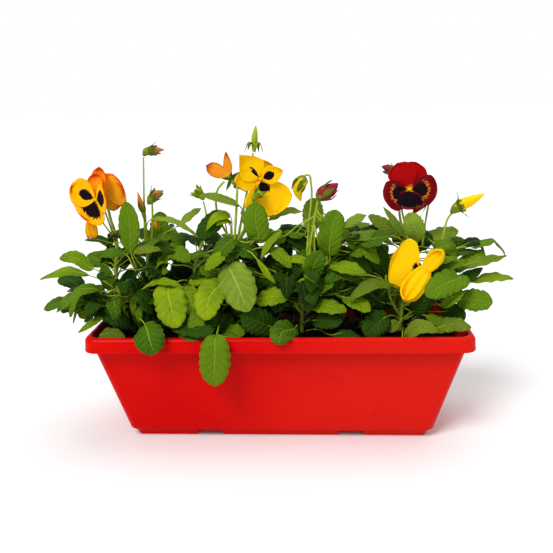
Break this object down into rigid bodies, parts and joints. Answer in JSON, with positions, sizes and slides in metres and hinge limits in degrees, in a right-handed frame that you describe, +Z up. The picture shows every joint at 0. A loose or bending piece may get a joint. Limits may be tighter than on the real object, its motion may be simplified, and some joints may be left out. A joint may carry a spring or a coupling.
{
  "type": "potted pansy planter",
  "caption": "Red plastic window-box planter filled with potting soil and flowering pansies, with round scalloped leaves, buds and bicolour flowers.",
  "frame": {"origin": "centre of the flat underside of the trough's middle foot", "axes": "+X along the trough to the right seen from its front, +Y towards its back, +Z up"},
  "size_m": [0.5664, 0.184, 0.3651],
  "materials": {
    "red_plastic": "glossy moulded plastic with light scuffs",
    "potting_soil": "dark, damp, crumbly potting mix of bark and peat",
    "stem_green": "smooth living stem",
    "leaf_green": "satin living leaf with pale veins",
    "bud_green": "satin living bud",
    "orange_petal": "velvety petal with red-orange edges and dark blotches",
    "yellow_petal": "velvety petal",
    "dark_red_petal": "velvety petal with near-black blotches"
  },
  "bodies": {
    "root": {"golden_flower": "yellow_petal", "leaf_a1_far_left": "leaf_green", "leaf_a2_drooping": "leaf_green", "leaf_a3_outside": "leaf_green", "leaf_a4_upright": "leaf_green", "leaf_a5_side": "leaf_green", "leaf_a6_long_pale": "leaf_green", "leaf_a7_over_rim": "leaf_green", "leaf_b1_scalloped": "leaf_green", "leaf_b2_bright": "leaf_green", "leaf_b3_rim": "leaf_green", "leaf_b4_upright": "leaf_green", "leaf_b5_level": "leaf_green", "leaf_b6_hanging": "leaf_green", "leaf_b7_side": "leaf_green", "leaf_b8_front": "leaf_green", "leaf_b9_cup": "leaf_green", "leaf_c1_upright": "leaf_green", "leaf_c2_oval": "leaf_green", "leaf_c3_lance": "leaf_green", "leaf_c4_level": "leaf_green", "leaf_c5_outer": "leaf_green", "leaf_d1_arched": "leaf_green", "leaf_d2_long": "leaf_green", "leaf_d3_far_right": "leaf_green", "leaf_d4_round": "leaf_green", "leaf_d5_front": "leaf_green", "leaf_d6_round_top": "leaf_green", "leaf_d7_back": "leaf_green", "low_bud": "bud_green", "orange_flower_lower": "orange_petal", "orange_flower_side_left": "orange_petal", "orange_flower_side_right": "orange_petal", "orange_flower_upper_left": "orange_petal", "orange_flower_upper_right": "orange_petal", "plant_centre_left_stems": "stem_green", "plant_centre_right_stems": "stem_green", "plant_left_stems": "stem_green", "plant_right_stems": "stem_green", "planter_trough": "red_plastic", "potting_soil": "potting_soil", "red_bud": "dark_red_petal", "red_flower_lower": "dark_red_petal", "red_flower_side_left": "dark_red_petal", "red_flower_side_right": "dark_red_petal", "red_flower_upper_left": "dark_red_petal", "red_flower_upper_right": "dark_red_petal", "round_orange_flower": "orange_petal", "seed_pod": "bud_green", "side_bud": "yellow_petal", "side_orange_flower": "orange_petal", "small_bud": "bud_green", "spent_flower": "orange_petal", "tall_bud": "bud_green", "yellow_bud": "yellow_petal", "yellow_flower_lower": "yellow_petal", "yellow_flower_side_left": "yellow_petal", "yellow_flower_side_right": "yellow_petal", "yellow_flower_upper_left": "yellow_petal", "yellow_flower_upper_right": "yellow_petal"}
  },
  "joints": []
}
